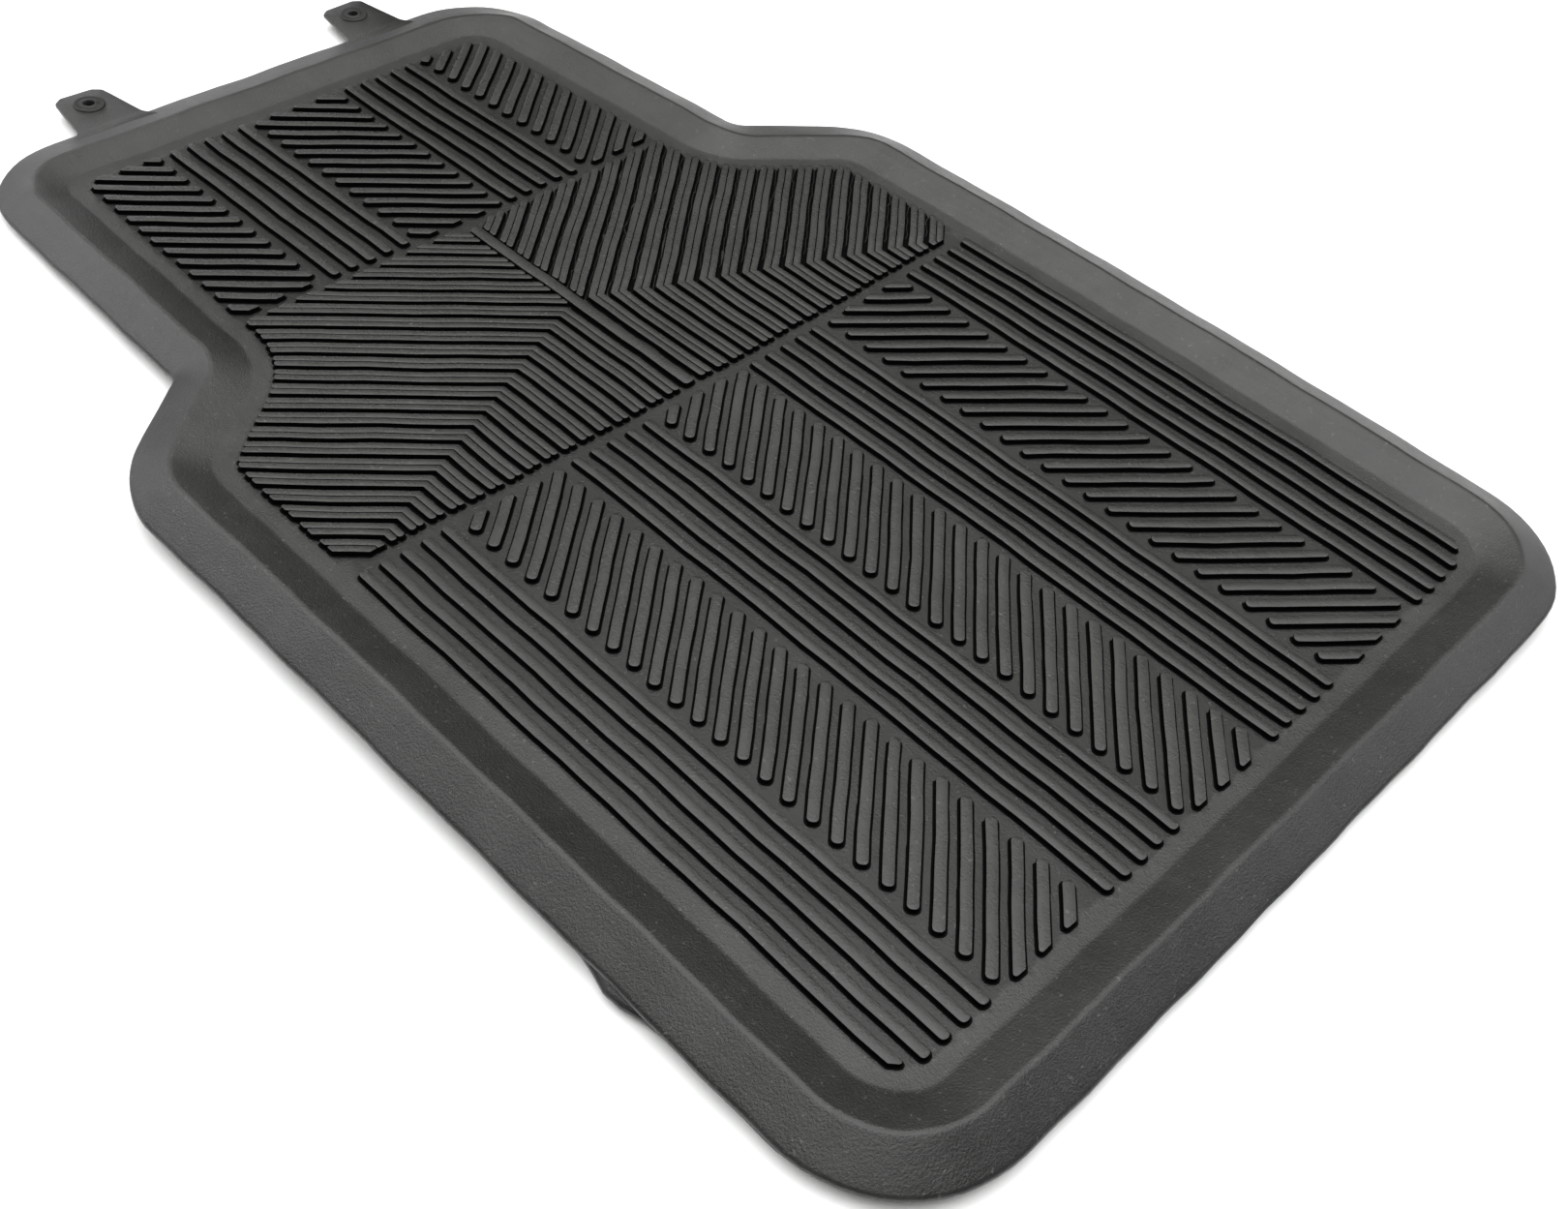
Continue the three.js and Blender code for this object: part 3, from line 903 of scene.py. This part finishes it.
class Nodes:
    """Short calls for the node tree of a material or a world."""

    def __init__(self, owner):
        owner.use_nodes = True
        self.tree = owner.node_tree
        self.tree.nodes.clear()

    def new(self, kind, **values):
        node = self.tree.nodes.new("ShaderNode" + kind)
        for key, value in values.items():
            if hasattr(node, key):
                setattr(node, key, value)
            else:
                node.inputs[key.replace("_", " ")].default_value = value
        return node

    def link(self, source, target):
        self.tree.links.new(source, target)

    def noise(self, coords, scale, detail=3.0, roughness=0.55):
        node = self.new("TexNoise", Scale=scale, Detail=detail, Roughness=roughness)
        self.link(coords, node.inputs["Vector"])
        return node.outputs["Fac"]

    def stretched(self, coords, scale):
        node = self.new("Mapping")
        node.inputs["Scale"].default_value = scale
        self.link(coords, node.inputs["Vector"])
        return node.outputs["Vector"]

    def ramp(self, value, low, high, low_colour, high_colour):
        node = self.new("ValToRGB")
        node.color_ramp.elements[0].position = low
        node.color_ramp.elements[1].position = high
        node.color_ramp.elements[0].color = low_colour
        node.color_ramp.elements[1].color = high_colour
        self.link(value, node.inputs["Fac"])
        return node.outputs["Color"]

    def span(self, value, low, high, to_low, to_high):
        node = self.new("MapRange")
        for key, number in zip(
            ("From Min", "From Max", "To Min", "To Max"), (low, high, to_low, to_high)
        ):
            node.inputs[key].default_value = number
        self.link(value, node.inputs["Value"])
        return node.outputs["Result"]

    def math(self, operation, a, b):
        node = self.new("Math", operation=operation)
        for socket, value in zip(node.inputs, (a, b)):
            if isinstance(value, (int, float)):
                socket.default_value = value
            else:
                self.link(value, socket)
        return node.outputs["Value"]

    def mix(self, factor, a, b, blend="MIX"):
        node = self.new("Mix", data_type="RGBA", blend_type=blend)
        for key, value in (("Factor", factor), ("A", a), ("B", b)):
            socket = next(s for s in node.inputs if s.name == key and s.enabled)
            if isinstance(value, (int, float, tuple)):
                socket.default_value = value
            else:
                self.link(value, socket)
        return next(s for s in node.outputs if s.enabled)

    def bump(self, height, strength, distance, normal=None):
        node = self.new("Bump", Strength=strength, Distance=distance)
        self.link(height, node.inputs["Height"])
        if normal is not None:
            self.link(normal, node.inputs["Normal"])
        return node.outputs["Normal"]

    def mix_shader(self, factor, first, second):
        node = self.new("MixShader")
        for socket, source in zip(node.inputs, (factor, first, second)):
            self.link(source, socket)
        return node.outputs["Shader"]

    def finish(self, surface, kind="OutputMaterial"):
        self.link(surface, self.new(kind).inputs["Surface"])


def rubber_material(name, tint):
    """Black moulded rubber: fine mould grain, faint scuffs and bloom, and a soft sheen, with
    painted shade on the ribs' walls, between the ribs and along their feet.
    """
    material = bpy.data.materials.new(name)
    n = Nodes(material)
    coords = n.new("TexCoord").outputs["Object"]
    cloudy = n.noise(coords, 9.0, 4.0, 0.6)
    patchy = n.noise(coords, 60.0, 4.0, 0.6)
    grain = n.noise(coords, 1050.0, 3.0, 0.7)
    speckle = n.noise(coords, 520.0, 2.0, 0.5)
    streaks = n.noise(n.stretched(coords, (420.0, 14.0, 60.0)), 1.0, 3.0, 0.6)
    dark, light = ((*(share * level for share in tint), 1) for level in (0.006, 0.011))
    base = n.ramp(cloudy, 0.3, 0.7, dark, light)
    bloom = n.ramp(patchy, 0.45, 0.8, grey(1), (1.35, 1.35, 1.33, 1))
    colour = n.mix(0.6, base, bloom, "MULTIPLY")
    dust = n.ramp(speckle, 0.66, 0.74, grey(0), grey(1))
    colour = n.mix(n.math("MULTIPLY", dust, 0.35), colour, (0.09, 0.09, 0.085, 1))

    # Painted shade: the ribs' walls and the field along their feet are painted near black, the
    # field between the ribs is painted darker, and the sheen is dimmed the same way.
    upright = n.new("SeparateXYZ")
    n.link(n.new("TexCoord").outputs["Normal"], upright.inputs["Vector"])
    flatness = n.span(n.math("ABSOLUTE", upright.outputs["Z"], 0.0), 0.25, 0.75, 0.0, 1.0)
    ribbed = n.new("Attribute", attribute_name="ribbed").outputs["Fac"]
    painted_shading = n.math("MAXIMUM", flatness, n.span(ribbed, 0.0, 0.5, 1.0, 0.0))
    painted_shading = n.math("MULTIPLY", painted_shading, n.span(ribbed, RIB_TOP_SHARE, 1.0, 1.0, 0.7))
    painted_shading = n.math("MULTIPLY", painted_shading, n.span(ribbed, 1.02, 1.15, 1.0, 0.02))
    colour = n.mix(painted_shading, grey(0.002), colour)

    shader = n.new("BsdfPrincipled")
    n.link(colour, shader.inputs["Base Color"])
    mixed = n.math("ADD", n.math("MULTIPLY", streaks, 0.8), patchy)
    smoother = n.math("MULTIPLY", ribbed, 0.07)
    roughness = n.math("SUBTRACT", n.span(mixed, 0.6, 1.2, 0.27, 0.37), smoother)
    n.link(roughness, shader.inputs["Roughness"])
    sheen = n.span(mixed, 0.6, 1.2, 0.32, 0.42)
    n.link(n.math("MULTIPLY", sheen, painted_shading), shader.inputs["Specular IOR Level"])
    grained = n.bump(grain, 0.55, 0.5 * MM)
    n.link(n.bump(patchy, 0.12, 0.6 * MM, grained), shader.inputs["Normal"])
    n.finish(shader.outputs["BSDF"])
    return material


def eyelet_material():
    """Satin black moulded plastic with light handling marks."""
    material = bpy.data.materials.new("eyelet_plastic")
    n = Nodes(material)
    coords = n.new("TexCoord").outputs["Object"]
    marks = n.noise(coords, 420.0, 4.0, 0.65)
    grain = n.noise(coords, 2600.0, 2.0, 0.5)
    colour = n.ramp(marks, 0.35, 0.75, grey(0.006), grey(0.014))
    shader = n.new("BsdfPrincipled")
    n.link(colour, shader.inputs["Base Color"])
    n.link(n.span(marks, 0.3, 0.7, 0.34, 0.5), shader.inputs["Roughness"])
    shader.inputs["Specular IOR Level"].default_value = 0.2
    n.link(n.bump(grain, 0.2, 0.12 * MM), shader.inputs["Normal"])
    n.finish(shader.outputs["BSDF"])
    return material


# ---- Pieces ----------------------------------------------------------------------------------

shape = mat_shape()
plastic = eyelet_material()
rubber_upper = rubber_material("rubber_upper", (1.0, 1.0, 0.97))
rubber_lower = rubber_material("rubber_lower", (0.97, 0.98, 1.0))

for level, placement, rubber in (("lower", LOWER, rubber_lower), ("upper", UPPER, rubber_upper)):
    body = f"{level}_mat"
    mat = make_mat(f"{level}_mat_rubber", shape, placement, rubber)
    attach(mat, body)
    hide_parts(f"{level}_mat_body")
    for side_name, side in (("left", -1), ("right", 1)):
        centre = Vector((side * TAB_X, HOLE_Y))
        for part, profile, height in (
            ("eyelet", EYELET_PROFILE, TAB_UNDERSIDE + TAB_THICKNESS),
            ("washer", WASHER_PROFILE, TAB_UNDERSIDE),
        ):
            name = f"{level}_{side_name}_{part}_ring"
            piece = make_turned(name, profile, placement, centre, height, plastic)
            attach(piece, body)
            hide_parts(f"{level}_mat_{side_name}_{part}")

# ---- Floor, light and camera -----------------------------------------------------------------


FLOOR_HALF_SIZE = 3.6
FLOOR_Z = -0.4 * MM
FLOOR_FADE_FROM = 1.2
FLOOR_FADE_TO = 2.6

NEUTRAL = (0.97, 0.99, 1.0)

# Each area light: its place, its target, its two sides, its power and its colour.
LIGHTS = {
    "sky": ((0.3, 0.8, 2.5), (0.3, 0.8, 0), (5.6, 5.6), 143, (1.0, 0.98, 0.885)),
    "overhead": ((0.0, 0.0, 2.4), (0.0, 0.0, 0), (3.4, 3.4), 118, (0.95, 0.98, 1.0)),
    "narrow side": ((-1.5, 4.0, 2.5), (0, 0, 0), (3.4, 2.4), 98, NEUTRAL),
    "right side": ((4.0, -1.9, 2.5), (0, 0, 0), (3.4, 2.4), 66, NEUTRAL),
    "horizon": ((1.5, 4.45, 0.7), (0, 0, 0), (1.6, 0.9), 12, NEUTRAL),
}
SURROUND_STRENGTH = 0.05
BACKDROP_STRENGTH = 1.0

# The camera's place and target, from a point on the ribs in the middle of the upper mat.
PIVOT_ABOVE_FIELD = 1.1 * MM
CAMERA_PLACE = Vector((-426.4, -419.2, 486.4)) * MM
CAMERA_TARGET = Vector((-65.5, -118.2, 0.0)) * MM
CAMERA_ROLL = math.radians(6.93)
CAMERA_SENSOR_WIDTH = 36
CAMERA_LENS = 38.99
CAMERA_FAR_CLIP = 60


def floor_material():
    """Pale matt paper that fades into the backdrop, where the camera sees it far from the mats."""
    material = bpy.data.materials.new("pale_floor")
    n = Nodes(material)
    coords = n.new("TexCoord").outputs["Object"]
    soft = n.noise(coords, 3.0, 2.0, 0.5)
    colour = n.ramp(soft, 0.3, 0.7, (0.74, 0.74, 0.745, 1), (0.76, 0.76, 0.765, 1))
    shader = n.new("BsdfPrincipled")
    n.link(colour, shader.inputs["Base Color"])
    shader.inputs["Roughness"].default_value = 0.8
    distance = n.new("VectorMath", operation="LENGTH")
    n.link(coords, distance.inputs[0])
    far = n.span(distance.outputs["Value"], FLOOR_FADE_FROM, FLOOR_FADE_TO, 0.0, 1.0)
    seen = n.math("MULTIPLY", far, n.new("LightPath").outputs["Is Camera Ray"])
    backdrop = n.new("Emission", Strength=BACKDROP_STRENGTH)
    n.finish(n.mix_shader(seen, shader.outputs["BSDF"], backdrop.outputs["Emission"]))
    return material


def make_floor():
    turns = ((-1, -1), (1, -1), (1, 1), (-1, 1))
    corners = [(x * FLOOR_HALF_SIZE, y * FLOOR_HALF_SIZE, 0) for x, y in turns]
    floor = make_object("floor", corners, [(0, 1, 2, 3)], floor_material())
    floor.location.z = FLOOR_Z


def add_area(name, location, target, size, power, colour):
    data = bpy.data.lights.new(name, "AREA")
    data.shape = "RECTANGLE"
    data.size, data.size_y = size
    data.energy = power
    data.color = colour
    light = bpy.data.objects.new(name, data)
    light.location = location
    light.rotation_euler = (Vector(target) - Vector(location)).to_track_quat("-Z", "Y").to_euler()
    bpy.context.scene.collection.objects.link(light)


def make_surround():
    """Soft area lights in a dim room, and a white backdrop that only the camera sees."""
    for name, settings in LIGHTS.items():
        add_area(name, *settings)
    world = bpy.data.worlds.new("surround")
    n = Nodes(world)
    dim, backdrop = (
        n.new("Background", Color=grey(1), Strength=strength).outputs["Background"]
        for strength in (SURROUND_STRENGTH, BACKDROP_STRENGTH)
    )
    seen = n.new("LightPath").outputs["Is Camera Ray"]
    n.finish(n.mix_shader(seen, dim, backdrop), "OutputWorld")
    bpy.context.scene.world = world


def make_camera():
    """The view from the wide end's left corner, turned a little about its own axis."""
    pivot_z = upper_low[2] + FIELD_TOP + PIVOT_ABOVE_FIELD + rise(0, 0)
    location = Vector((ORIGIN_X, ORIGIN_Y, pivot_z)) + CAMERA_PLACE
    data = bpy.data.cameras.new("camera")
    data.sensor_fit = "HORIZONTAL"
    data.sensor_width = CAMERA_SENSOR_WIDTH
    data.lens = CAMERA_LENS
    data.clip_end = CAMERA_FAR_CLIP
    camera = bpy.data.objects.new("camera", data)
    aim = (CAMERA_TARGET - CAMERA_PLACE).to_track_quat("-Z", "Y").to_matrix().to_4x4()
    roll = Matrix.Rotation(CAMERA_ROLL, 4, "Z")
    camera.matrix_world = Matrix.Translation(location) @ aim @ roll
    bpy.context.scene.collection.objects.link(camera)
    bpy.context.scene.camera = camera


make_floor()
make_surround()
make_camera()
bpy.context.scene.view_settings.view_transform = "Standard"
